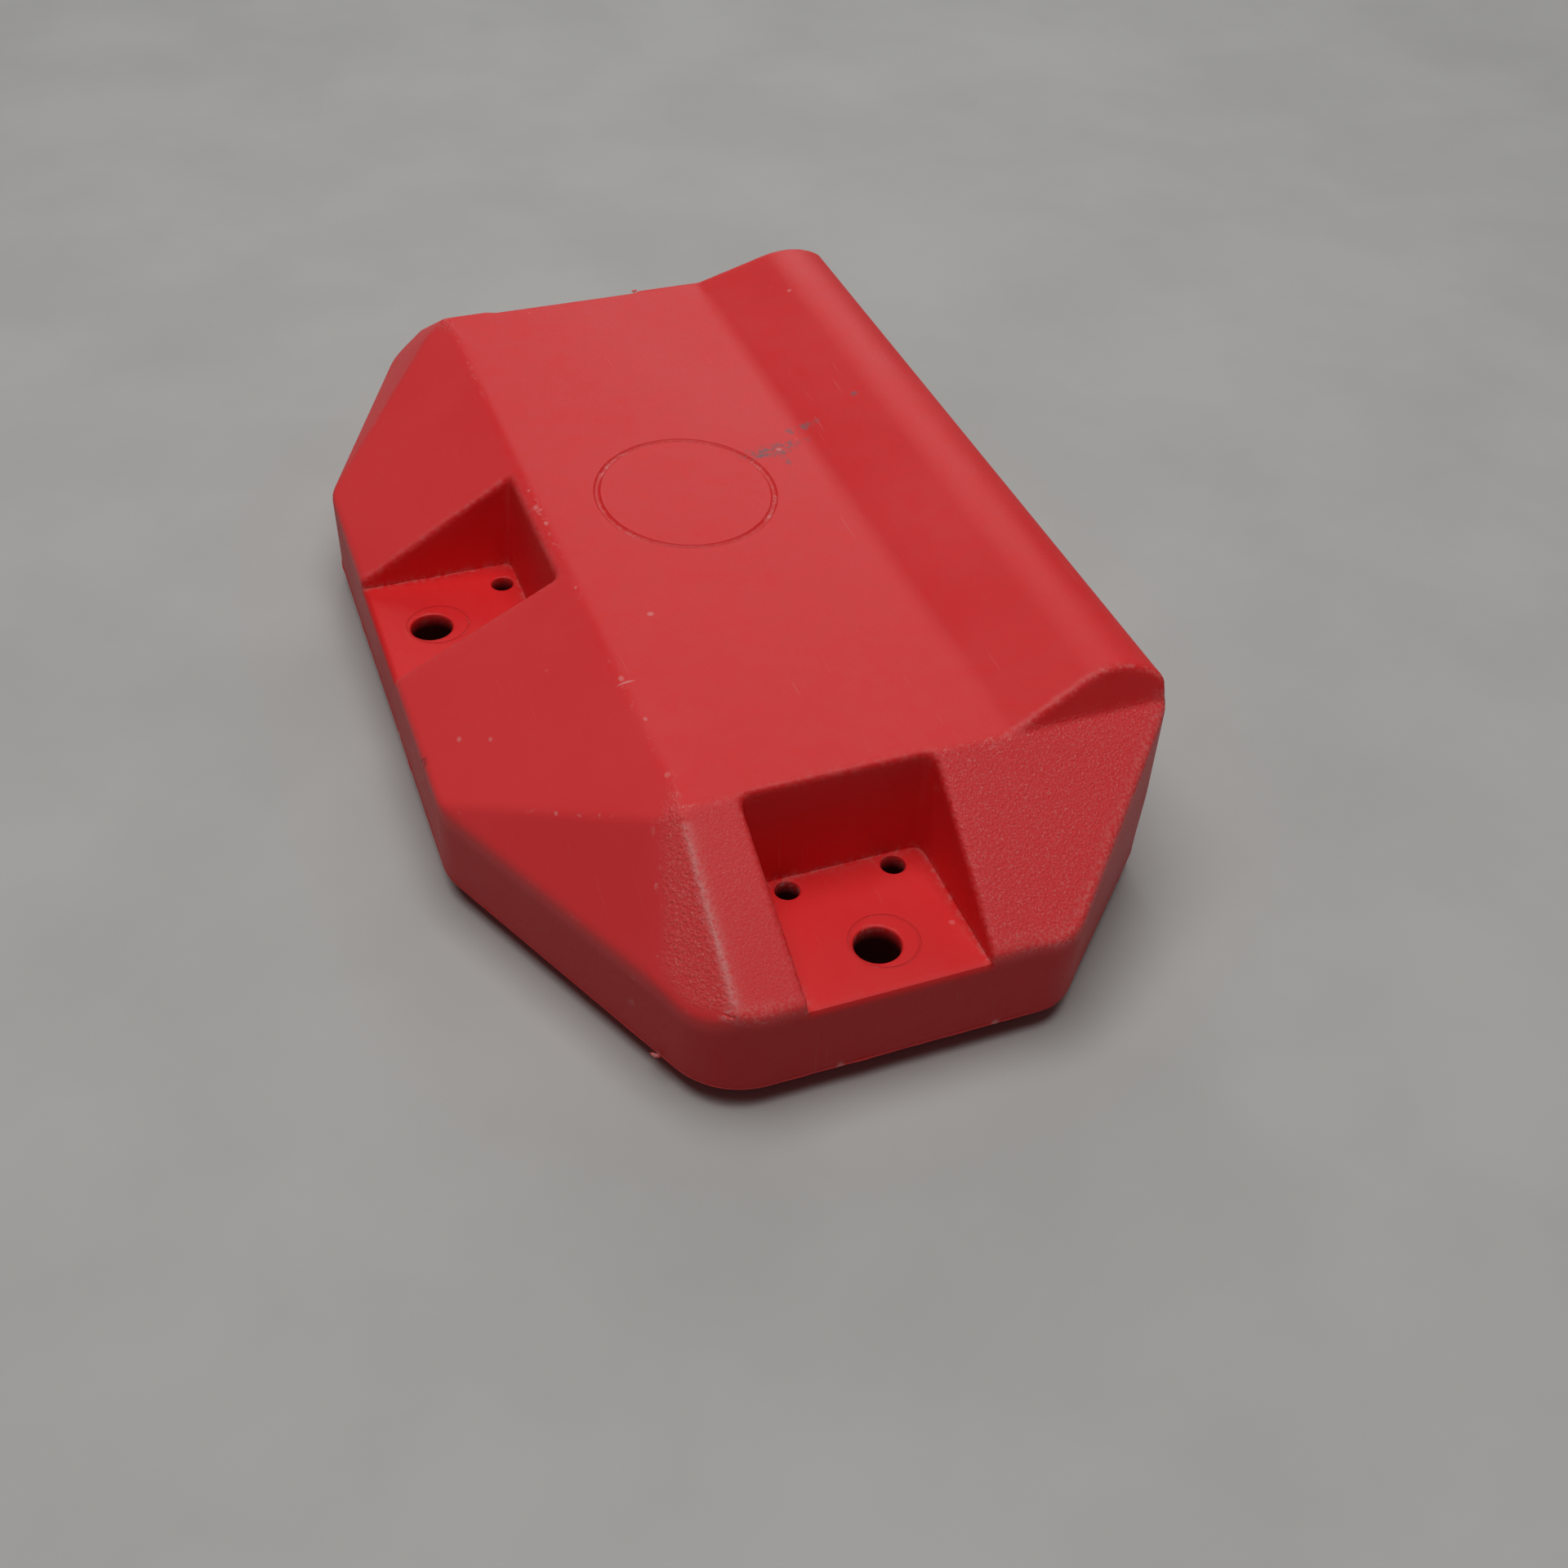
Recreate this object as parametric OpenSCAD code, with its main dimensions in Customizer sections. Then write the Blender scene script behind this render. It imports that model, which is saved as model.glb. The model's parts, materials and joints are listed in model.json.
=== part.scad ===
// Percussion block: a hollow, hard plastic block struck with a drumstick.
// A thick upper shell with a raised striking ridge is bonded to a shallow
// lower shell. The chamber between them opens through a mouth in the front.
// Three pockets, one in the back and one in each end, take a rod bracket.
// X runs along the block, +Y faces the player, z = 0 is the underside.

/* [Body] */
// Length from end wall to end wall
body_l = 190; // [184:1:200]
// Width from the back wall to the front wall
body_w = 101; // [98:1:108]
// Height of the plateau above the seam
plateau_h = 29.5; // [27:0.5:33]
// Depth of the lower shell below the seam
base_h = 4; // [3:0.5:6]
// How far the lower shell's foot sits inside the outline
base_inset = 4; // [2:0.5:6]

/* [Outline corners] */
// Half length of the straight back wall
back_half = 42.5; // [38:0.5:46]
// Half length of the straight front wall
front_half = 69.5; // [66:0.5:69.5]
// Distance from the middle to the end wall's back corner
end_back_y = 26.5; // [24:0.5:30]
// Distance from the middle to the end wall's front corner
end_front_y = 25; // [20:0.5:28]
// Corner radius where the back cheeks meet their neighbours
cheek_r = 12; // [8:1:16]
// Corner radius at the front of each end wall
end_r = 8; // [6:1:14]
// Corner radius at the ends of the front wall
front_r = 4; // [2:0.5:6]

/* [Slopes] */
// Distance from the middle to the fold above each end slope
end_fold_x = 69.5; // [69.5:0.5:70.5]
// Distance from the middle to the fold above the back slope
back_fold_y = 22.4; // [20:0.2:24]
// Height of the end walls and the back wall above the seam
wall_h = 14; // [13.5:0.5:16]
// Distance from a cheek wall to the top of its facet
cheek_run = 13.2; // [12:0.2:14]
// Height of the cheek walls above the seam
cheek_wall_h = 13.6; // [13:0.2:15]

/* [Striking ridge] */
// Distance from the middle to the fold where the ridge starts
ridge_fold_y = 25.6; // [24:0.2:28]
// Height of the crest above the plateau
ridge_rise = 5.8; // [4:0.2:8]
// Distance from the front wall to the crest
crest_back = 8; // [7:0.2:9]
// Radius of the crest
crest_r = 12; // [11:0.5:13]
// Radius of the shoulder between the crest and the front wall
shoulder_r = 3; // [2:0.2:4]
// How far the ridge's end faces lean inwards at the crest
ridge_lean = 2.6; // [0:0.2:4]

/* [Bracket pockets] */
// Width of a pocket
pocket_w = 28; // [24:0.5:30]
// Depth of a pocket in from its wall
pocket_d = 25; // [24:0.2:25.2]
// Height of the pocket floor above the seam
pocket_floor = 12.5; // [10:0.5:13]
// Radius of the pocket's inner corners
pocket_r = 1.5; // [1:0.5:5]
// Offset of the end pockets from the middle, towards the back
end_pocket_y = 0.2; // [0:0.2:2]
// Offset of the back pocket from the middle, towards the left end
back_pocket_x = 1.6; // [0:0.2:4]

/* [Bracket holes] */
// Diameter of the bolt hole through both shells
bolt_d = 6.7; // [6:0.1:7]
// Distance from the wall to the bolt hole
bolt_in = 8.8; // [8:0.2:10]
// Diameter of the two blind locating holes
pin_d = 3.6; // [3:0.1:4]
// Depth of the locating holes below the pocket floor
pin_depth = 9; // [6:0.5:11]
// Distance between the two locating holes
pin_pitch = 16; // [15:0.2:18]
// Distance from the bolt hole to the line of the locating holes
pin_back = 13.6; // [12:0.2:13.8]

/* [Sound chamber] */
// Length of the chamber
chamber_l = 120; // [110:1:124]
// Distance from the middle to the chamber's back wall
chamber_back = 17; // [12:0.5:18]
// Height of the chamber above the seam
chamber_h = 20; // [16:0.5:22]
// Radius of the chamber's upright corners
chamber_r = 8; // [4:1:12]
// Thickness of the front wall around the mouth
front_wall = 8; // [6:0.5:10]
// Length of the mouth
mouth_l = 116; // [100:1:118]
// Height of the mouth's sill above the seam
mouth_sill = 3; // [2.5:0.5:5]
// Height of the mouth
mouth_h = 10; // [8:0.5:12]

/* [Hidden] */
$fn = 96;

half_l = body_l / 2;
half_w = body_w / 2;
seam_z = base_h;
plateau_z = seam_z + plateau_h;
wall_z = seam_z + wall_h;
floor_z = seam_z + pocket_floor;
// How far a cutter runs past the surface it opens
over = 5;
// Size of the blocks that cut the slopes
reach = 2 * body_l;
// Thickness of the slabs that the lower shell is stretched between
slab = 0.5;

// Corners of the outline, anticlockwise, each as x, y and radius
outline_corners = [
    [-back_half, -half_w, cheek_r],
    [back_half, -half_w, cheek_r],
    [half_l, -end_back_y, cheek_r],
    [half_l, end_front_y, end_r],
    [front_half, half_w, front_r],
    [-front_half, half_w, front_r],
    [-half_l, end_front_y, end_r],
    [-half_l, -end_back_y, cheek_r]
];

// Unit vector from a to b
function unit(a, b) = (b - a) / norm(b - a);
// Corner i of a list, counted round the list
function at(list, i) = list[(i + len(list)) % len(list)];
// The x and y of a corner
function flat(c) = [c.x, c.y];
// Half the angle through which the outline turns at corner i
function half_turn(list, i) =
    acos(unit(flat(at(list, i - 1)), flat(at(list, i)))
        * unit(flat(at(list, i)), flat(at(list, i + 1)))) / 2;
// Where the arc at corner i meets the edge towards corner j
function tangent(list, i, j) =
    flat(list[i]) + unit(flat(list[i]), flat(at(list, j))) * list[i][2] * tan(half_turn(list, i));
// Centre of the arc at corner i
function arc_centre(list, i) =
    let (a = tangent(list, i, i - 1), b = tangent(list, i, i + 1), mid = (a + b) / 2)
    flat(list[i]) + unit(flat(list[i]), mid) * list[i][2] / cos(half_turn(list, i));

// Outline of the block seen from above
module outline() {
    polygon([for (i = [0 : len(outline_corners) - 1], side = [-1, 1])
        tangent(outline_corners, i, i + side)]);
    for (i = [0 : len(outline_corners) - 1])
        translate(arc_centre(outline_corners, i)) circle(r = outline_corners[i][2]);
}

// Everything outside a plane through a point; tilt is its slope from level
module outside(point, tilt, heading) {
    translate(point) rotate([0, tilt, heading])
        translate([-reach / 2, -reach / 2, 0]) cube([reach, reach, reach / 2]);
}

// Plan direction that a cheek wall at the +X end faces
cheek_heading = atan2(-(half_l - back_half), half_w - end_back_y);
cheek_tilt = atan((plateau_h - cheek_wall_h) / cheek_run);
end_tilt = atan((plateau_h - wall_h) / (half_l - end_fold_x));
back_tilt = atan((plateau_h - wall_h) / (half_w - back_fold_y));

// The narrow facet between the end slope and the cheek facet starts just off
// the plateau's corner, follows the end slope almost straight outwards and
// meets the cheek wall's top at a foot
strip_gap = 0.6;
strip_drop = strip_gap / 2;
strip_end_in = 3;
strip_foot_in = 9.3;
strip_foot_back = 20;
strip_run = half_l - strip_end_in - end_fold_x;
strip_top = [end_fold_x + strip_gap, -back_fold_y - strip_gap / 3, plateau_z - strip_drop];
strip_end = [half_l - strip_end_in, -back_fold_y - strip_gap, plateau_z - strip_run * tan(end_tilt)];
strip_cheek = [half_l - strip_foot_in, -half_w + strip_foot_back, seam_z + cheek_wall_h + strip_gap];
strip_normal = cross(strip_cheek - strip_top, strip_end - strip_top);
strip_tilt = acos(strip_normal.z / norm(strip_normal));
strip_heading = atan2(strip_normal.y, strip_normal.x);

// The slopes and facets that the upper shell's top is cut to
module slopes() {
    outside([0, -back_fold_y, plateau_z], back_tilt, -90);
    for (side = [0, 1]) mirror([side, 0, 0]) {
        outside([end_fold_x, 0, plateau_z], end_tilt, 0);
        outside([back_half, -half_w, seam_z + cheek_wall_h], cheek_tilt, cheek_heading);
        outside(strip_top, strip_tilt, strip_heading);
    }
}

crest = [half_w - crest_back, plateau_z + ridge_rise - crest_r];
shoulder_z = crest.y + sqrt(pow(crest_r - shoulder_r, 2) - pow(crest_back - shoulder_r, 2));
shoulder = [half_w - shoulder_r, shoulder_z];
// Slope of the ridge's back, tangent to the crest
ridge_foot = [ridge_fold_y, plateau_z];
ridge_slope = atan2(crest.y - ridge_foot.y, crest.x - ridge_foot.x)
    + asin(crest_r / norm(crest - ridge_foot));
crest_start = crest + crest_r * [-sin(ridge_slope), cos(ridge_slope)];
crest_end = crest + crest_r * unit(crest, shoulder);

// Cross-section of the ridge, with y across and z up
module ridge_section() {
    polygon([[ridge_fold_y, wall_z], ridge_foot, crest_start, crest, shoulder,
        [half_w, shoulder.y], [half_w, wall_z]]);
    intersection() {
        translate(crest) circle(r = crest_r);
        polygon([crest, crest + 2 * (crest_start - crest), crest + [0, 2 * crest_r],
            crest + 2 * (crest_end - crest)]);
    }
    translate(shoulder) circle(r = shoulder_r);
}

// The ridge along the front, with leaning end faces
module ridge() {
    intersection() {
        rotate([90, 0, 90]) translate([0, 0, -half_l]) linear_extrude(body_l) ridge_section();
        rotate([90, 0, 0]) translate([0, 0, -body_w]) linear_extrude(2 * body_w) polygon([
            [-end_fold_x, 0], [end_fold_x, 0], [end_fold_x, plateau_z],
            [end_fold_x - ridge_lean, plateau_z + ridge_rise],
            [-end_fold_x + ridge_lean, plateau_z + ridge_rise], [-end_fold_x, plateau_z]]);
        linear_extrude(plateau_z + reach) outline();
    }
}

// Places its children at a pocket, with +X pointing out through its wall
module at_each_pocket() {
    for (side = [0, 1]) mirror([side, 0, 0]) translate([half_l, -end_pocket_y, 0]) children();
    translate([-back_pocket_x, -half_w, 0]) rotate(-90) children();
}

// Room for a bracket, open upwards and out through the wall
module pocket_room() {
    translate([0, 0, floor_z]) linear_extrude(plateau_h) {
        translate([-pocket_d + pocket_r, -pocket_w / 2]) square([pocket_d + over, pocket_w]);
        translate([-pocket_d, -pocket_w / 2 + pocket_r]) square([pocket_d, pocket_w - 2 * pocket_r]);
        for (side = [-1, 1])
            translate([-pocket_d + pocket_r, side * (pocket_w / 2 - pocket_r)]) circle(r = pocket_r);
    }
}

module bolt_hole() {
    translate([-bolt_in, 0, -over]) cylinder(d = bolt_d, h = floor_z + 2 * over);
}

module pin_holes() {
    for (side = [-1, 1])
        translate([-bolt_in - pin_back, side * pin_pitch / 2, floor_z - pin_depth])
            cylinder(d = pin_d, h = pin_depth + over);
}

// Plan of the chamber
module chamber_plan() {
    half = chamber_l / 2;
    front = half_w - front_wall;
    back = -chamber_back;
    translate([-half + chamber_r, back]) square([2 * (half - chamber_r), front - back]);
    translate([-half, back + chamber_r]) square([2 * half, front - back - 2 * chamber_r]);
    for (x = [-half + chamber_r, half - chamber_r], y = [back + chamber_r, front - chamber_r])
        translate([x, y]) circle(r = chamber_r);
}

module chamber() {
    translate([0, 0, seam_z - over]) linear_extrude(chamber_h + over) chamber_plan();
}

module mouth() {
    translate([-mouth_l / 2, half_w - front_wall - over, seam_z + mouth_sill])
        cube([mouth_l, front_wall + 2 * over, mouth_h]);
}

// Upper shell: plateau, slopes, ridge, pockets and the chamber's walls
module upper_shell() {
    color("crimson") difference() {
        union() {
            difference() {
                translate([0, 0, seam_z]) linear_extrude(plateau_h) outline();
                slopes();
            }
            ridge();
        }
        at_each_pocket() {
            pocket_room();
            bolt_hole();
            pin_holes();
        }
        chamber();
        mouth();
    }
}

// Lower shell: the shallow foot that closes the chamber from below
module lower_shell() {
    color("firebrick") difference() {
        hull() {
            translate([0, 0, seam_z - slab]) linear_extrude(slab) outline();
            linear_extrude(slab)
                intersection_for (shift = [[-1, 0], [1, 0], [0, -1], [0, 1]])
                    translate(base_inset * shift) outline();
        }
        at_each_pocket() bolt_hole();
    }
}

upper_shell();
lower_shell();
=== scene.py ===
"""A red moulded percussion block: an upper shell with a striking ridge and three bracket
pockets, bonded to a shallow lower shell. Shapes are worked out in millimetres as signed
distances, meshed, and scaled to metres in the frame's own axes."""

import json
import math

import bmesh
import bpy
import numpy as np
import openvdb
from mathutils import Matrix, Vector


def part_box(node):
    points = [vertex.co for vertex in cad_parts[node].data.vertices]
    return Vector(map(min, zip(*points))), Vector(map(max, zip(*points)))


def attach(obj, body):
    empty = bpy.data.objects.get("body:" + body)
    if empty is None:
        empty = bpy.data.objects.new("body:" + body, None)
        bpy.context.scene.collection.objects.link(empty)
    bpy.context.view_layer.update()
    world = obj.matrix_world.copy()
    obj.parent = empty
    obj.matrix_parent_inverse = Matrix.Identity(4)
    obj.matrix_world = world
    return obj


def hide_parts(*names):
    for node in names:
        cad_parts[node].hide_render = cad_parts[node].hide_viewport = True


MM = 0.001

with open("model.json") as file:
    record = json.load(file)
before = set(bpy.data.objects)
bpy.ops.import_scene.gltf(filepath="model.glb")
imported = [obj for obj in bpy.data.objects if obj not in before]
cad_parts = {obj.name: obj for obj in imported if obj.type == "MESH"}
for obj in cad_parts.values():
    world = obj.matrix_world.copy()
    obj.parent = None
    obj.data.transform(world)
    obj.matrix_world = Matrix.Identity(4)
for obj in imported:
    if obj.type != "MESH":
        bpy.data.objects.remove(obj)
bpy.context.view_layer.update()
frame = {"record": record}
record = frame["record"]
mounts = {mount["name"]: mount for mount in record["mounts"]}
rng = np.random.default_rng(7)

# ---------------------------------------------------------------- driving dimensions, mm
upper_low, upper_high = (np.array(corner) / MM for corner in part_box("upper_shell"))
half_l = upper_high[0]
half_w = upper_high[1]
seam_z = upper_low[2]
crest_z = upper_high[2]
floor_z = mounts["seat_right"]["pos_m"][2] / MM
bolt_r = mounts["bolt_right"]["dims"]["r_mm"]
pin_r = mounts["pins_right"]["dims"]["hole_r_mm"]
pin_depth = 9.0

plateau_z = 33.5
wall_z = 18.0
cheek_wall_z = 17.6
wall_skin = 0.2  # the moulded walls sit this far inside the seam's flash

back_half = 42.5
front_half = 69.5
end_back_y = 26.5
end_front_y = 25.0
cheek_r = 12.0
end_r = 8.0
front_r = 4.0
end_fold_x = 69.5
back_fold_y = 22.4
cheek_run = 13.2
strip_top = (70.1, -22.6, 33.2)
strip_end = (92.0, -23.0, 19.8)
strip_foot = (83.6, -31.4, 18.2)

ridge_fold_y = 25.6
crest_back = 8.0
crest_r = 12.0
ridge_lean = 2.6

# Each pocket's half width and depth at its floor, how much each grows per mm upwards, corner radius
POCKETS = {"right": (13.2, 0.065, 24.8, 0.055, 1.8),
           "left": (13.2, 0.065, 24.8, 0.055, 1.8),
           "back": (13.3, 0.09, 25.1, 0.085, 1.0)}
end_pocket_y = mounts["bolt_right"]["pos_m"][1] / MM
back_pocket_x = mounts["bolt_back"]["pos_m"][0] / MM

chamber_half = 60.0
chamber_back_y = -17.0
chamber_front_y = 42.5
chamber_top = 24.0
chamber_r = 8.0
mouth_half = 58.0
mouth_low = 7.0
mouth_high = 17.0

foot_inset = 4.0

# ---------------------------------------------------------------- signed distances


def smoothstep(low, high, value):
    t = np.clip((value - low) / (high - low), 0.0, 1.0)
    return t * t * (3.0 - 2.0 * t)


def cut(a, b, radius):
    """Inside both a and b, with the edge between them rounded off."""
    outside = np.hypot(np.maximum(a + radius, 0.0), np.maximum(b + radius, 0.0))
    return np.minimum(np.maximum(a, b), -radius) + outside


def join(a, b, radius):
    """Inside a or b, with the corner between them filled in."""
    return -cut(-a, -b, radius)


def half_space(p, point, normal):
    normal = np.array(normal) / np.linalg.norm(normal)
    return sum((p[i] - point[i]) * normal[i] for i in range(3))


def unit(vector):
    return np.array(vector) / np.linalg.norm(vector)


def rounded_outline(corners):
    """Tangent points, arc centres and radii of a convex outline of (x, y, radius) corners."""
    points, arcs = [], []
    count = len(corners)
    for i, (x, y, radius) in enumerate(corners):
        here = np.array((x, y))
        before = unit(np.array(corners[i - 1][:2]) - here)
        after = unit(np.array(corners[(i + 1) % count][:2]) - here)
        half_turn = (math.pi - math.acos(float(before @ after))) / 2
        reach = radius * math.tan(half_turn)
        points += [here + before * reach, here + after * reach]
        arcs.append((here + unit(before + after) * radius / math.cos(half_turn), radius))
    return points, arcs


outline_corners = [
    (-back_half, -half_w, cheek_r),
    (back_half, -half_w, cheek_r),
    (half_l, -end_back_y, cheek_r),
    (half_l, end_front_y, end_r),
    (front_half, half_w, front_r),
    (-front_half, half_w, front_r),
    (-half_l, end_front_y, end_r),
    (-half_l, -end_back_y, cheek_r),
]
outline_points, outline_arcs = rounded_outline(outline_corners)


def outline(x, y):
    """Signed distance to the block's outline seen from above."""
    inside = None
    for a, b in zip(outline_points, outline_points[1:] + outline_points[:1]):
        along = unit(b - a)
        side = (x - a[0]) * along[1] - (y - a[1]) * along[0]
        inside = side if inside is None else np.maximum(inside, side)
    for centre, radius in outline_arcs:
        inside = np.minimum(inside, np.hypot(x - centre[0], y - centre[1]) - radius)
    return inside


end_tilt = math.atan2(plateau_z - wall_z, half_l - end_fold_x)
back_tilt = math.atan2(plateau_z - wall_z, half_w - back_fold_y)
cheek_tilt = math.atan2(plateau_z - cheek_wall_z, cheek_run)
cheek_heading = math.atan2(back_half - half_l, half_w - end_back_y)


def facets(p):
    """Signed distance to each flat facet of the top, the same at both ends."""
    q = (np.abs(p[0]), p[1], p[2])
    strip_normal = np.cross(np.subtract(strip_foot, strip_top), np.subtract(strip_end, strip_top))
    return {
        "plateau": p[2] - plateau_z,
        "back": half_space(q, (0, -back_fold_y, plateau_z), (
            0, -math.sin(back_tilt), math.cos(back_tilt))),
        "end": half_space(q, (end_fold_x, 0, plateau_z), (math.sin(end_tilt), 0, math.cos(end_tilt))),
        "cheek": half_space(q, (back_half, -half_w, cheek_wall_z), (
            math.sin(cheek_tilt) * math.cos(cheek_heading),
            math.sin(cheek_tilt) * math.sin(cheek_heading),
            math.cos(cheek_tilt))),
        "strip": half_space(q, strip_top, strip_normal),
    }


crest = (half_w - crest_back, crest_z - crest_r)
foot_to_crest = (crest[0] - ridge_fold_y, crest[1] - plateau_z)
ridge_slope = math.atan2(foot_to_crest[1], foot_to_crest[0])
ridge_slope += math.asin(crest_r / math.hypot(*foot_to_crest))


def ridge_parts(p):
    """Signed distances to the striking ridge's section, a slope that runs into a round crest,
    and to its leaning end faces."""
    y, z = p[1] - crest[0], p[2] - crest[1]
    slope = (p[2] - plateau_z) * math.cos(ridge_slope) - (p[1] - ridge_fold_y) * math.sin(ridge_slope)
    before_crest = y * math.cos(ridge_slope) + z * math.sin(ridge_slope) < 0
    section = np.where(before_crest, slope, np.hypot(y, z) - crest_r)
    lean = (crest_z - plateau_z, 0, ridge_lean)
    return section, half_space((np.abs(p[0]), p[1], p[2]), (end_fold_x, 0, plateau_z), lean)


def pocket_plan(p, name):
    """Signed distance, in plan, to a pocket's walls."""
    half_width, draft, deep, deep_draft, radius = POCKETS[name]
    if name == "back":
        depth, across = -half_w - p[1], p[0] - back_pocket_x
    else:
        depth, across = (p[0] if name == "right" else -p[0]) - half_l, p[1] - end_pocket_y
    above = p[2] - floor_z
    a = -depth - deep - deep_draft * above + radius
    b = np.abs(across) - half_width - draft * above + radius
    corner = np.hypot(np.maximum(a, 0), np.maximum(b, 0))
    return corner - radius + np.minimum(np.maximum(a, b), 0)


def pocket_room(p, name):
    return np.maximum(pocket_plan(p, name), floor_z - p[2])


def top_facets(p, soft):
    """Signed distance to the plateau, slopes and facets, with softened folds."""
    f = facets(p)
    top = cut(f["plateau"], f["back"], 0.45 * soft)
    top = cut(top, f["end"], 0.4 * soft)
    top = cut(top, f["cheek"], 0.35 * soft)
    towards_cheek = smoothstep(-1.5, 1.5, f["cheek"] - f["end"])
    return cut(top, f["strip"], (0.15 + 0.2 * towards_cheek) * soft)


def front_cheek(p):
    """How far a front cheek wall stands out from the outline: it flares upwards a little."""
    on_cheek = smoothstep(66.0, 73.0, np.abs(p[0])) * smoothstep(18.0, 27.0, p[1])
    return on_cheek * (0.1 + 0.55 * smoothstep(seam_z, wall_z, p[2]))


def upper_body(p, soft=1.0, fold_soft=None):
    """Signed distance to the upper shell without its chamber and holes. Soft scales the roundings."""
    near_end = smoothstep(60.0, 68.0, np.abs(p[0]))
    ridge = cut(*ridge_parts(p), 0.6 * soft)
    top = top_facets(p, soft if fold_soft is None else fold_soft)
    top = join(top, ridge, (0.5 - 0.3 * near_end) * soft)
    walls = outline(p[0], p[1]) + wall_skin - front_cheek(p)
    body = cut(top, walls, 0.6 * soft)
    for name in POCKETS:
        body = cut(body, -pocket_room(p, name), 0.7 * soft)
    return body


def lower_body(p):
    """Signed distance to the lower shell without its holes."""
    taper = foot_inset * (1 - p[2] / seam_z)
    side = (outline(p[0], p[1]) + wall_skin + taper) * math.sqrt(0.5)
    return cut(side, -p[2], 0.7)


# ---------------------------------------------------------------- meshing


OFF_GRID = (2.37, 2.61, 1.43)  # uneven margins, so that no flat face falls on a grid plane


def surface(distance, low, high, pitch):
    """Quads on the zero level of a signed distance, pulled exactly onto it."""
    low = np.array(low) - np.array(OFF_GRID) * pitch
    count = np.ceil((np.array(high) + 3 * pitch - low) / pitch).astype(int)
    axes = [low[i] + pitch * np.arange(count[i]) for i in range(3)]
    values = distance(np.meshgrid(*axes, indexing="ij", sparse=True))
    grid = openvdb.FloatGrid(background=3 * pitch)
    grid.copyFromArray(np.ascontiguousarray(values, dtype=np.float32))
    points, triangles, quads = grid.convertToPolygons(isovalue=0.0, adaptivity=0.0)
    points = low + np.array(points, float) * pitch
    for _ in range(3):
        points = points - step_to_surface(distance, points)
    faces = [list(map(int, face[::-1])) for part in (triangles, quads) for face in part]
    return points, faces


def gradient(distance, points, step=0.02):
    found = np.zeros_like(points)
    for axis in range(3):
        ahead, behind = points.copy(), points.copy()
        ahead[:, axis] += step
        behind[:, axis] -= step
        found[:, axis] = (distance(ahead.T) - distance(behind.T)) / (2 * step)
    return found


def step_to_surface(distance, points):
    slope = gradient(distance, points)
    length = np.maximum((slope**2).sum(1, keepdims=True), 0.25)
    return slope * distance(points.T)[:, None] / length


def snap_to_creases(points, pitch):
    """Pulls the points beside a pocket's floor crease onto it, so that it stays crisp."""
    reach = 0.62 * pitch
    for name in POCKETS:

        def plan(p, name=name):
            return pocket_plan(p, name)

        away = plan(points.T)
        near = (np.abs(away) < reach) & (np.abs(points[:, 2] - floor_z) < reach)
        crease = points[near]
        crease[:, 2] = floor_z
        for _ in range(2):
            slope = gradient(plan, crease)
            crease -= slope * plan(crease.T)[:, None]
        points[near] = crease
    return points


def mesh_object(name, points, faces):
    mesh = bpy.data.meshes.new(name)
    mesh.from_pydata((np.asarray(points) * MM).tolist(), [], faces)
    mesh.validate()
    made = bpy.data.objects.new(name, mesh)
    bpy.context.scene.collection.objects.link(made)
    return made


def boolean(obj, tool, operation="DIFFERENCE"):
    """Joins a closed tool mesh to obj, or takes it away, and removes the tool."""
    modifier = obj.modifiers.new("cut", "BOOLEAN")
    modifier.operation = operation
    modifier.solver = "MANIFOLD"
    modifier.object = tool
    graph = bpy.context.evaluated_depsgraph_get()
    result = bpy.data.meshes.new_from_object(obj.evaluated_get(graph))
    obj.modifiers.clear()
    obj.data = result
    bpy.data.objects.remove(tool)


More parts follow.
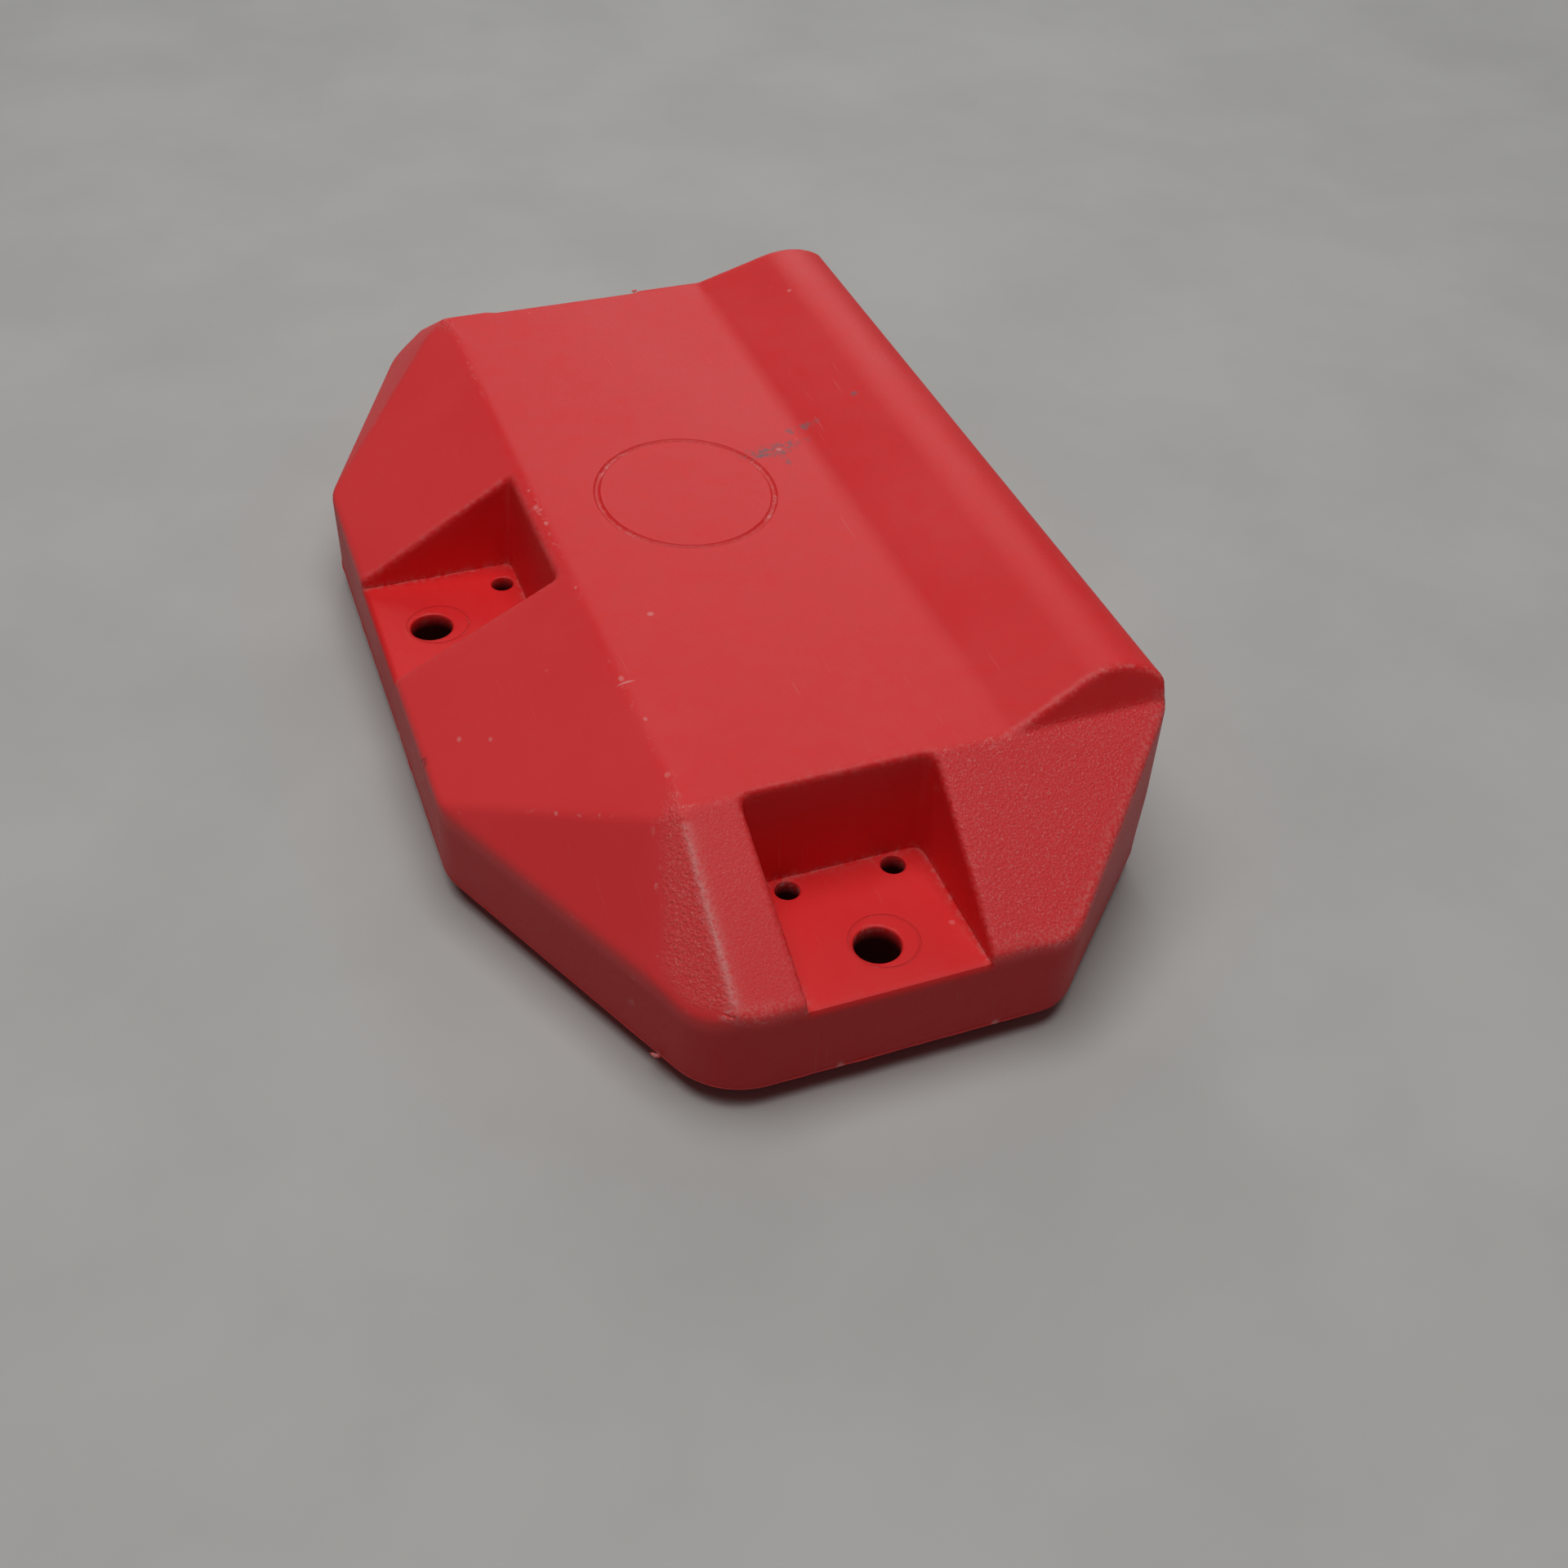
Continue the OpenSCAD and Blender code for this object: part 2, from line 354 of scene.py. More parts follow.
class Solids:
    """Closed solids gathered into one mesh, in millimetres."""

    def __init__(self):
        self.points, self.faces = [], []

    def loft(self, rings, closed=False):
        """Skins a list of rings of points; the ends are capped unless it closes on itself."""
        start, around = len(self.points), len(rings[0])
        for ring in rings:
            self.points += [tuple(point) for point in ring]
        last = len(rings) if closed else len(rings) - 1
        for i in range(last):
            for j in range(around):
                a, b = i * around, ((i + 1) % len(rings)) * around
                k = (j + 1) % around
                self.faces.append([start + a + j, start + a + k, start + b + k, start + b + j])
        if not closed:
            self.faces.append([start + j for j in reversed(range(around))])
            top = start + (len(rings) - 1) * around
            self.faces.append([top + j for j in range(around)])

    def turned(self, centre, profile, sides):
        """A solid of revolution about a vertical axis from (radius, z) pairs, lowest first."""
        angles = np.arange(sides) * 2 * math.pi / sides
        self.loft([[(centre[0] + r * math.cos(a), centre[1] + r * math.sin(a), z) for a in angles]
                   for r, z in profile])

    def ring(self, centre, radii, z, thickness, sides, around=10):
        """A ring of round section along a level ellipse."""
        rings = []
        for a in np.arange(sides) * 2 * math.pi / sides:
            across = unit((radii[1] * math.cos(a), radii[0] * math.sin(a)))
            ring = []
            for b in np.arange(around) * 2 * math.pi / around:
                x = radii[0] * math.cos(a) + across[0] * thickness * math.cos(b)
                y = radii[1] * math.sin(a) + across[1] * thickness * math.cos(b)
                ring.append((centre[0] + x, centre[1] + y, z + thickness * math.sin(b)))
            rings.append(ring)
        self.loft(rings, closed=True)

    def spindle(self, start, end, thickness, wander, steps=7, around=7):
        """A sliver that is thickest in the middle, between two points, and wanders off the straight."""
        start, end = np.array(start, float), np.array(end, float)
        along = unit(end - start)
        side = unit(np.cross(along, (0.3, 0.2, 1.0)))
        up = np.cross(along, side)
        rings = []
        for t in np.linspace(0.02, 0.98, steps):
            centre = start + (end - start) * t + (side * rng.normal() + up * rng.normal()) * wander
            r = thickness * math.sin(math.pi * t) ** 0.6
            rings.append([centre + r * (side * math.cos(a) + up * math.sin(a))
                          for a in np.arange(around) * 2 * math.pi / around])
        self.loft(rings)

    def block(self, low, high):
        corners = [(low[0], low[1]), (high[0], low[1]), (high[0], high[1]), (low[0], high[1])]
        self.loft([[(x, y, z) for x, y in corners] for z in (low[2], high[2])])

    def build(self, name):
        obj = mesh_object(name, self.points, self.faces)
        bm = bmesh.new()
        bm.from_mesh(obj.data)
        bmesh.ops.recalc_face_normals(bm, faces=bm.faces[:])
        bm.to_mesh(obj.data)
        bm.free()
        return obj


def slab(low, high):
    """A block that covers everything between two levels."""
    solids = Solids()
    solids.block((-2 * half_l, -2 * half_w, low), (2 * half_l, 2 * half_w, high))
    return solids.build("slab")


def hole_places():
    """Centre, radius and depth below the pocket floor of every hole; a through hole has no depth."""
    places = []
    for name in POCKETS:
        x, y, _ = (value / MM for value in mounts[f"bolt_{name}"]["pos_m"])
        places.append((x, y, bolt_r, None))
        pins = mounts[f"pins_{name}"]
        along_x = "spacing_x_mm" in pins["dims"]
        pitch = pins["dims"]["spacing_x_mm" if along_x else "spacing_y_mm"]
        x, y, _ = (value / MM for value in pins["pos_m"])
        for side in (-0.5, 0.5):
            shift = (side * pitch, 0) if along_x else (0, side * pitch)
            places.append((x + shift[0], y + shift[1], pin_r, pin_depth))
    return places


HOLE_SHADE = 2.4  # depth at which a hole's wall has gone dark
HOLE_DRAFT = 0.06  # how much narrower than its mouth a hole is at the bottom


def hole_cutters(name, lowest):
    """Drills with a small worn lead-in at the pocket floor."""
    solids = Solids()
    for x, y, radius, depth in hole_places():
        if depth is None:
            bottom = [(radius - HOLE_DRAFT, lowest - 1.0)]
        else:
            tip = floor_z - depth
            bottom = [(0.3, tip - 0.6), (radius - 0.2, tip - 0.15), (radius - HOLE_DRAFT, tip)]
        lead = 0.28 if depth is None else 0.2
        top = [(radius - HOLE_DRAFT / 2, floor_z - HOLE_SHADE), (radius, floor_z - lead),
               (radius + 0.3 * lead, floor_z - 0.35 * lead), (radius + lead, floor_z),
               (radius + lead, floor_z + 2.0)]
        solids.turned((x, y), bottom + top, sides=56 if depth is None else 36)
    return solids.build(name)


def chamber_cutters():
    """The chamber, with rounded corners in plan, and its mouth in the front wall."""
    plan = []
    steps = 8
    across = chamber_half - chamber_r
    front, back = chamber_front_y - chamber_r, chamber_back_y + chamber_r
    middles = ((across, front), (-across, front), (-across, back), (across, back))
    for first, (x, y) in enumerate(middles):
        for step in range(steps + 1):
            a = (first + step / steps) * math.pi / 2
            plan.append((x + chamber_r * math.cos(a), y + chamber_r * math.sin(a)))
    solids = Solids()
    solids.loft([[(x, y, z) for x, y in plan] for z in (seam_z - 2.0, chamber_top)])
    mouth = Solids()
    mouth.block((-mouth_half, chamber_front_y - 2.0, mouth_low), (mouth_half, half_w + 2.0, mouth_high))
    return solids.build("chamber"), mouth.build("mouth")


COARSE_PITCH = 0.9
PITCH = 0.66


def outline_walk(spacing):
    """Points about every spacing millimetres along the outline, with their outward directions."""
    path = []
    count = len(outline_points)
    for i in range(0, count, 2):
        centre, radius = outline_arcs[i // 2]
        a = outline_points[i] - centre
        b = outline_points[i + 1] - centre
        start, end = math.atan2(a[1], a[0]), math.atan2(b[1], b[0])
        end += 2 * math.pi if end < start else 0.0
        for t in np.linspace(0, 1, max(2, round(radius * (end - start) / spacing)), endpoint=False):
            heading = start + t * (end - start)
            path.append((centre + radius * np.array((math.cos(heading), math.sin(heading))), heading))
        here, there = outline_points[i + 1], outline_points[(i + 2) % count]
        length = np.linalg.norm(there - here)
        for t in np.linspace(0, 1, max(2, round(length / spacing)), endpoint=False):
            path.append((here + t * (there - here), end))
    return path


def wavy(count, waves):
    """Smooth seeded noise round a closed loop, from 0 to 1."""
    t = np.arange(count) * 2 * math.pi / count
    total = np.zeros(count)
    for k in range(2, waves):
        height = rng.normal()
        total = total + height * np.cos(k * t + rng.uniform(0, 2 * math.pi)) / math.sqrt(k)
    return (total - total.min()) / (total.max() - total.min())


FLASH_REACH = 0.14
FLASH_ROOT = 1.2  # how far inside the outline the lip begins
FLASH_GAP = 0.004  # lifts the lip just off the seam


def flash_line():
    """The thin uneven lip of flash where the two shells meet."""
    path = outline_walk(1.1)
    reach = wavy(len(path), 160) ** 3
    rings = []
    for (point, heading), amount in zip(path, reach):
        out = np.array((math.cos(heading), math.sin(heading)))
        tip = -FLASH_REACH + FLASH_REACH * amount
        inner = point - out * FLASH_ROOT
        edge = point + out * tip
        rings.append([(*inner, seam_z + 0.5), (*inner, seam_z + FLASH_GAP),
                      (*edge, seam_z + FLASH_GAP), (*edge, seam_z + 0.14 + 0.1 * amount)])
    solids = Solids()
    solids.loft(rings, closed=True)
    return solids.build("flash")


SPARE = 0.7  # each shell is meshed this far past the seam, then cut off flat at it


def build_upper():
    points, faces = surface(
        lambda p: np.maximum(upper_body(p), seam_z - SPARE - p[2]),
        (-half_l, -half_w, seam_z - SPARE), (half_l, half_w, crest_z), PITCH)
    points = snap_to_creases(points, PITCH)
    shell = mesh_object("upper_shell_moulding", points, faces)
    boolean(shell, slab(-2 * half_w, seam_z))
    for cutter in chamber_cutters():
        boolean(shell, cutter)
    boolean(shell, hole_cutters("holes", seam_z))
    boolean(shell, relief_cutters())
    boolean(shell, flash_line(), "UNION")
    boolean(shell, nibs(), "UNION")
    return shell


OVAL_CENTRE = (-1.9, 1.5)
OVAL_RADII = (15.6, 14.2)
OVAL_RING_R = 0.72  # the ring that cuts the groove; it lies mostly above the plateau
OVAL_RING_RISE = 0.42
WASHER_SHIFT = (-0.3, 1.1)  # from the bolt hole's centre
WASHER_R = 4.9
WASHER_RING_R = 0.24
WASHER_RING_RISE = 0.14


def washer_places():
    """Centre of the print that the bracket's washer left round each bolt hole."""
    for name in POCKETS:
        x, y, _ = (value / MM for value in mounts[f"bolt_{name}"]["pos_m"])
        yield x + WASHER_SHIFT[0], y + WASHER_SHIFT[1]


def relief_cutters():
    """The plain oval groove on the plateau, the washers' prints and a few knife nicks on the rims."""
    solids = Solids()
    solids.ring(OVAL_CENTRE, OVAL_RADII, plateau_z + OVAL_RING_RISE, OVAL_RING_R, sides=200)
    for centre in washer_places():
        solids.ring(centre, (WASHER_R, WASHER_R), floor_z + WASHER_RING_RISE, WASHER_RING_R,
                    sides=96, around=6)
    nicks = [((91.3, -25.9, 18.6), (95.2, -22.2, 18.1), 0.32),
             ((94.7, 6.2, 16.9), (94.9, 7.4, 16.3), 0.35),
             ((94.9, 3.6, 16.2), (94.6, 4.6, 16.8), 0.28)]
    for start, end, thickness in nicks:
        solids.spindle(start, end, thickness, wander=0.05)
    return solids.build("relief")


NIBS = [((84.4, -32.1, 4.2), (85.7, -31.0, 4.3), 0.30),
        ((94.4, 14.2, 4.2), (94.4, 15.4, 4.25), 0.30),
        ((94.4, -8.9, 4.2), (94.4, -7.9, 4.2), 0.28),
        ((7.8, -50.1, 4.2), (9.2, -50.1, 4.25), 0.28),
        ((-69.7, 13.0, 33.5), (-69.6, 14.1, 33.6), 0.26)]


def nibs():
    """Small burrs left where the flash was trimmed."""
    solids = Solids()
    for start, end, thickness in NIBS:
        solids.spindle(start, end, thickness, wander=0.03)
    return solids.build("nibs")


def build_lower():
    points, faces = surface(
        lambda p: np.maximum(lower_body(p), p[2] - seam_z - SPARE),
        (-half_l, -half_w, 0), (half_l, half_w, seam_z + SPARE), COARSE_PITCH)
    shell = mesh_object("lower_shell_moulding", points, faces)
    boolean(shell, slab(seam_z, 2 * half_w))
    boolean(shell, hole_cutters("holes", 0.0))
    return shell


def finish_mesh(obj, sharp_degrees):
    """Smooth shading with creases kept above an angle, and every normal pointing out."""
    bm = bmesh.new()
    bm.from_mesh(obj.data)
    bmesh.ops.recalc_face_normals(bm, faces=bm.faces[:])
    bm.to_mesh(obj.data)
    bm.free()
    obj.data.shade_smooth()
    obj.data.set_sharp_from_angle(angle=math.radians(sharp_degrees))


def add_mask(obj, name, values):
    layer = obj.data.attributes.new(name, "FLOAT", "POINT")
    layer.data.foreach_set("value", np.clip(values, 0, 1).astype(np.float32))


def vertex_points(obj):
    flat = np.zeros(len(obj.data.vertices) * 3, np.float32)
    obj.data.vertices.foreach_get("co", flat)
    return flat.reshape(-1, 3).astype(float) / MM


def paint_upper_masks(obj):
    """Where the sand texture, the painted sheen on the slopes, the pebbled strip, wear, dust, and the
    painted shade in the pockets, on the walls and in the holes lie.
    """
    points = vertex_points(obj)
    p = points.T
    f = facets(p)
    others = np.maximum.reduce([f["plateau"], f["back"], f["cheek"], f["strip"]])
    on_top = smoothstep(-2.4, -0.8, np.maximum(upper_top(p), -9))
    walls = outline(p[0], p[1])
    inside_rim = smoothstep(-0.6, -1.8, walls)
    room = np.minimum.reduce([pocket_room(p, name) for name in POCKETS])
    outside_pocket = smoothstep(0.1, 0.6, room)
    sand = smoothstep(-0.6, 0.25, f["end"] - others) * on_top * inside_rim * outside_pocket
    add_mask(obj, "sand", sand * (0.45 + 0.55 * smoothstep(-16.0, 16.0, p[1])))
    slopes = np.maximum.reduce([f["back"], f["cheek"], f["end"], f["strip"]])
    # The slopes, where a painted sheen makes the colour lighter and greyer than on the plateau.
    add_mask(obj, "slope_sheen", smoothstep(-0.2, 0.8, slopes - f["plateau"]) * on_top * outside_pocket)
    strip = smoothstep(-0.3, 0.1, f["strip"] - f["end"]) * smoothstep(-0.1, 0.5, f["strip"] - f["cheek"])
    add_mask(obj, "strip", strip * on_top * inside_rim)
    add_mask(obj, "edge", smoothstep(0.06, 0.3, -upper_body(p, 0.0, 1.0)))
    add_mask(obj, "fold", smoothstep(0.02, 0.12, -upper_body(p, 1.0, 0.0)))
    section, ridge_end = ridge_parts(p)
    profile = np.exp(-np.abs(section - ridge_end) / 0.5)
    profile *= (np.abs(section) < 0.8) * (np.abs(ridge_end) < 0.8)
    strip_border = np.exp(-np.abs(f["strip"] - f["end"]) / 0.3) * (f["end"] > -0.5) * (np.abs(p[0]) > 71)
    rim = np.exp(-np.abs(room) / 0.5) * (p[2] > floor_z + 0.3) * np.exp(-np.abs(upper_top(p)) / 0.6)
    add_mask(obj, "line", np.maximum(0.6 * profile, 0.55 * rim))
    add_mask(obj, "strip_border", strip_border * on_top * inside_rim)
    beside_rim = smoothstep(-2.6, -1.2, walls - front_cheek(p)) * smoothstep(-1.0, 0.0, f["end"] - others)
    add_mask(obj, "band", beside_rim * on_top * smoothstep(6.0, 24.0, np.abs(p[1])) * (p[2] > wall_z - 1.0))
    plan = np.minimum.reduce([np.abs(pocket_plan(p, name)) for name in POCKETS])
    crease = np.exp(-np.maximum(plan, np.abs(p[2] - floor_z)) / 0.55)
    add_mask(obj, "crease", crease * (room < 0.4))
    # Inside the pockets, where painted shade darkens the colour.
    add_mask(obj, "pocket", 1 - smoothstep(-0.1, 0.25, room))
    # The outer walls, where painted shade darkens the colour, more towards the bottom.
    on_wall = smoothstep(-0.9, -0.3, walls - front_cheek(p)) * smoothstep(-0.3, -1.6, upper_top(p))
    add_mask(obj, "wall", on_wall * smoothstep(plateau_z - 2.0, wall_z - 3.0, p[2]) * (room > -0.2))
    # The holes, where painted shade darkens the walls with depth.
    hole = np.zeros(len(points))
    for x, y, radius, _ in hole_places():
        inside = np.hypot(p[0] - x, p[1] - y) < radius + 0.12
        hole = np.maximum(hole, inside * smoothstep(floor_z - 0.2, floor_z - HOLE_SHADE, p[2]))
    add_mask(obj, "hole", hole)


def upper_top(p):
    return np.maximum.reduce(list(facets(p).values()))


# ---------------------------------------------------------------- materials


class Tree:
    """A short way to write a material's nodes."""

    def __init__(self, name):
        self.material = bpy.data.materials.new(name)
        self.material.use_nodes = True
        self.nodes = self.material.node_tree.nodes
        self.links = self.material.node_tree.links
        self.nodes.clear()

    def add(self, kind, settings=None, **inputs):
        node = self.nodes.new("ShaderNode" + kind)
        for key, value in (settings or {}).items():
            setattr(node, key, value)
        for key, value in inputs.items():
            socket = node.inputs[int(key[1:])] if key[0] == "i" and key[1:].isdigit() else node.inputs[
                key.replace("_", " ")]
            self.put(value, socket)
        return node

    def put(self, value, socket):
        if isinstance(value, bpy.types.NodeSocket):
            self.links.new(value, socket)
        else:
            socket.default_value = value

    def math(self, operation, a, b=0.0):
        return self.add("Math", {"operation": operation}, i0=a, i1=b).outputs[0]

    def ramp(self, value, low, high, to_low=0.0, to_high=1.0):
        """Smoothly maps low..high to to_low..to_high."""
        node = self.add("MapRange", {"interpolation_type": "SMOOTHSTEP"}, Value=value)
        ends = {"From Min": low, "From Max": high, "To Min": to_low, "To Max": to_high}
        for name, number in ends.items():
            node.inputs[name].default_value = number
        return node.outputs[0]

    def mix(self, amount, a, b):
        node = self.add("Mix", {"data_type": "RGBA", "clamp_factor": True})
        self.put(amount, node.inputs[0])
        self.put(a, node.inputs[6])
        self.put(b, node.inputs[7])
        return node.outputs[2]

    def mask(self, name):
        return self.add("Attribute", {"attribute_name": name}).outputs["Fac"]

    def place(self, scale=(1, 1, 1), turn=(0, 0, 0), shift=(0, 0, 0)):
        coordinates = self.add("TexCoord").outputs["Object"]
        node = self.add("Mapping", Vector=coordinates)
        node.inputs["Location"].default_value = shift
        node.inputs["Rotation"].default_value = turn
        node.inputs["Scale"].default_value = scale
        return node.outputs[0]

    def noise(self, scale, detail, rough=0.55, where=None):
        node = self.add("TexNoise", Scale=scale, Detail=detail, Roughness=rough)
        self.links.new(where or self.place(), node.inputs["Vector"])
        return node.outputs["Fac"]

    def cells(self, scale):
        """Distance to the nearest of a field of scattered points."""
        node = self.add("TexVoronoi", Scale=scale)
        self.links.new(self.place(), node.inputs["Vector"])
        return node.outputs["Distance"]

    def spot(self, centre, radius, stretch, turn):
        """1 at a point given in millimetres, falling to 0 at a radius."""
        coordinates = self.add("TexCoord").outputs["Object"]
        moved = self.add("VectorMath", {"operation": "SUBTRACT"}, i0=coordinates,
                         i1=tuple(value * MM for value in centre)).outputs[0]
        node = self.add("Mapping", Vector=moved)
        node.inputs["Rotation"].default_value = (0, 0, turn)
        node.inputs["Scale"].default_value = tuple(1 / (value * radius * MM) for value in stretch)
        length = self.add("VectorMath", {"operation": "LENGTH"}, i0=node.outputs[0]).outputs["Value"]
        return self.ramp(length, 0.35, 1.0, 1.0, 0.0)

    def oval(self, centre, radii, half_width, level):
        """1 along an ellipse drawn on a level face, in millimetres, falling to 0 on both sides."""
        coordinates = self.add("TexCoord").outputs["Object"]
        moved = self.add("VectorMath", {"operation": "SUBTRACT"}, i0=coordinates,
                         i1=(centre[0] * MM, centre[1] * MM, level * MM)).outputs[0]
        node = self.add("Mapping", Vector=moved)
        reach = (radii[0], radii[1], 8 * radii[0])
        node.inputs["Scale"].default_value = tuple(1 / (value * MM) for value in reach)
        length = self.add("VectorMath", {"operation": "LENGTH"}, i0=node.outputs[0]).outputs["Value"]
        off = self.math("ABSOLUTE", self.math("SUBTRACT", length, 1.0))
        share = half_width / radii[0]
        return self.ramp(off, 0.5 * share, 1.2 * share, 1.0, 0.0)


RED = (0.690, 0.017, 0.020, 1)
DEEP_RED = (0.740, 0.004, 0.006, 1)
FADED_RED = (0.710, 0.030, 0.034, 1)
WORN = (0.72, 0.26, 0.25, 1)
DUST = (0.60, 0.33, 0.31, 1)
GREY_SCUFF = (0.20, 0.11, 0.125, 1)
# Painted sheen on the slopes.
SHEEN_RED = (0.760, 0.042, 0.047, 1)
# Darker red for the oval groove, as painted shade, and for the washers' prints.
GROOVE_RED = (0.36, 0.004, 0.006, 1)
# Painted shade on the outer walls.
WALL_SHADE_RED = (0.44, 0.002, 0.003, 1)
# Painted shade in the holes.
HOLE_SHADE_RED = (0.05, 0.001, 0.001, 1)
DIRT = (0.045, 0.012, 0.012, 1)


def red_plastic(name, detailed=True):
    """Satin moulded plastic with sand texture, pebbles, wear, dust and scuffs."""
    t = Tree(name)
    fine = t.noise(1500, 2.0)
    broad = t.noise(34, 4.0)
    color = t.mix(t.ramp(broad, 0.35, 0.7), RED, FADED_RED)
    mottle = t.noise(260, 3.0)
    color = t.mix(t.ramp(mottle, 0.35, 0.75, 0.0, 0.35), color, DEEP_RED)
    roughness = t.ramp(broad, 0.3, 0.75, 0.48, 0.58)
    roughness = t.math("ADD", roughness, t.ramp(fine, 0.3, 0.8, -0.03, 0.05))
    height = t.math("MULTIPLY", t.noise(700, 3.0), 0.012)
    scratches = scratch_lines(t)
    color = t.mix(t.math("MULTIPLY", scratches, 0.16), color, WORN)
    height = t.math("SUBTRACT", height, t.math("MULTIPLY", scratches, 0.008))
    specks = t.ramp(t.cells(150), 0.055, 0.09, 1.0, 0.0)
    specks = t.math("MULTIPLY", specks, t.ramp(t.noise(60, 2.0), 0.56, 0.62))
    color = t.mix(t.math("MULTIPLY", specks, 0.6), color, WORN)
    if detailed:
        color, roughness, height = upper_detail(t, color, roughness, height)
    bump = t.add("Bump", Height=height, Distance=MM, Strength=1.0)
    shader = t.add("BsdfPrincipled", Base_Color=color, Roughness=roughness, Normal=bump.outputs[0])
    shader.inputs["IOR"].default_value = 1.49
    shader.inputs["Specular IOR Level"].default_value = 0.36
    shader.inputs["Subsurface Weight"].default_value = 0.2
    shader.inputs["Subsurface Radius"].default_value = (1.0, 0.12, 0.10)
    shader.inputs["Subsurface Scale"].default_value = 2.6 * MM
    output = t.add("OutputMaterial")
    t.links.new(shader.outputs[0], output.inputs["Surface"])
    return t.material


def scratch_lines(t):
    """Sparse fine handling scratches in three directions."""
    total = None
    for turn, shift in ((0.35, 0.0), (-0.9, 0.3), (1.35, 0.7)):
        where = t.place(scale=(70, 1700, 60), turn=(0, 0, turn), shift=(shift, shift, 0))
        lines = t.ramp(t.noise(1.0, 1.0, where=where), 0.735, 0.77)
        here_and_there = t.ramp(t.noise(45, 1.0, where=t.place(shift=(shift, 0, 0))), 0.5, 0.62)
        part = t.math("MULTIPLY", lines, here_and_there)
        total = part if total is None else t.math("MAXIMUM", total, part)
    return total


def upper_detail(t, color, roughness, height):
    """Adds what only the upper shell has: textured facets, wear, dust, scuffs, a painted sheen on the
    slopes, and painted shade in the pockets, on the walls, in the oval groove and in the holes.
    """
    sand, strip, pocket = t.mask("sand"), t.mask("strip"), t.mask("pocket")
    # Painted shade: the insides of the pockets are darkened.
    color = t.mix(t.math("MULTIPLY", pocket, 0.6), color, DEEP_RED)
    # Painted shade: the outer walls are darkened, more towards the bottom.
    color = t.mix(t.math("MULTIPLY", t.mask("wall"), 0.45), color, WALL_SHADE_RED)
    # Painted sheen: the slopes are made lighter and greyer than the plateau.
    color = t.mix(t.math("MULTIPLY", t.mask("slope_sheen"), 0.75), color, SHEEN_RED)

    rough_area = t.math("MAXIMUM", sand, strip)
    grain = t.noise(2600, 2.0, 0.6)
    height = t.math("ADD", height, t.math("MULTIPLY", rough_area, t.math("MULTIPLY", grain, 0.20)))
    sparkle = t.math("MULTIPLY", rough_area, t.ramp(t.noise(3300, 1.0), 0.56, 0.70))
    color = t.mix(t.math("MULTIPLY", sparkle, 0.38), color, WORN)
    roughness = t.math("ADD", roughness, t.math("MULTIPLY", rough_area, 0.08))
    pebbles = t.ramp(t.cells(1500), 0.05, 0.75, 1.0, 0.0)
    height = t.math("ADD", height, t.math("MULTIPLY", strip, t.math("MULTIPLY", pebbles, 0.055)))
    color = t.mix(t.math("MULTIPLY", strip, t.ramp(pebbles, 0.3, 0.9, 0.04, 0.12)), color, WORN)

    patches = t.ramp(t.noise(120, 3.0, 0.6), 0.45, 0.62)
    edge_rub = t.math("MULTIPLY", t.ramp(t.noise(900, 4.0, 0.7), 0.44, 0.66), t.mask("edge"))
    edge_rub = t.math("MULTIPLY", edge_rub, t.ramp(patches, 0.0, 1.0, 0.15, 0.6))
    line_rub = t.math("MULTIPLY", t.ramp(t.noise(1100, 4.0, 0.7), 0.45, 0.60), t.mask("line"))
    fold_rub = t.math("MULTIPLY", t.ramp(t.noise(800, 4.0, 0.75), 0.55, 0.62), t.mask("fold"))
    fold_rub = t.math("MULTIPLY", fold_rub, t.math("MULTIPLY", patches, 0.75))
    border_rub = t.math("MULTIPLY", t.ramp(t.noise(1300, 3.0, 0.6), 0.30, 0.52), t.mask("strip_border"))
    band_rub = t.math("MULTIPLY", t.ramp(t.noise(1900, 3.0, 0.7), 0.40, 0.66), t.mask("band"))
    rub = t.math("MAXIMUM", t.math("MAXIMUM", edge_rub, t.math("MULTIPLY", line_rub, 0.62)), fold_rub)
    rub = t.math("MAXIMUM", rub, t.math("MULTIPLY", band_rub, 0.42))
    rub = t.math("MAXIMUM", rub, t.math("MULTIPLY", border_rub, 0.9))
    color = t.mix(rub, color, WORN)
    roughness = t.math("ADD", roughness, t.math("MULTIPLY", rub, 0.12))

    dust = t.math("MULTIPLY", t.mask("crease"), t.ramp(t.noise(900, 4.0, 0.7), 0.42, 0.62))
    color = t.mix(t.math("MULTIPLY", dust, 0.32), color, DUST)

    # Painted shade: the oval groove is darkened along its line.
    groove_shade = t.math("MULTIPLY", t.oval(OVAL_CENTRE, OVAL_RADII, 0.5, plateau_z), 0.16)
    color = t.mix(groove_shade, color, GROOVE_RED)
    for centre in washer_places():
        print_ring = t.oval(centre, (WASHER_R, WASHER_R), 0.3, floor_z)
        color = t.mix(t.math("MULTIPLY", print_ring, 0.25), color, GROOVE_RED)

    broken = t.ramp(t.noise(900, 4.0, 0.75), 0.46, 0.58)
    for centre, radius, stretch, turn, strength, tint in marks():
        spot = t.spot(centre, radius, stretch, turn)
        amount = t.math("MULTIPLY", t.math("MULTIPLY", spot, broken if radius > 1.5 else 1.0), strength)
        color = t.mix(amount, color, tint)
        roughness = t.math("ADD", roughness, t.math("MULTIPLY", amount, 0.12))
    # Painted shade: the holes go dark with depth.
    color = t.mix(t.mask("hole"), color, HOLE_SHADE_RED)
    return color, roughness, height


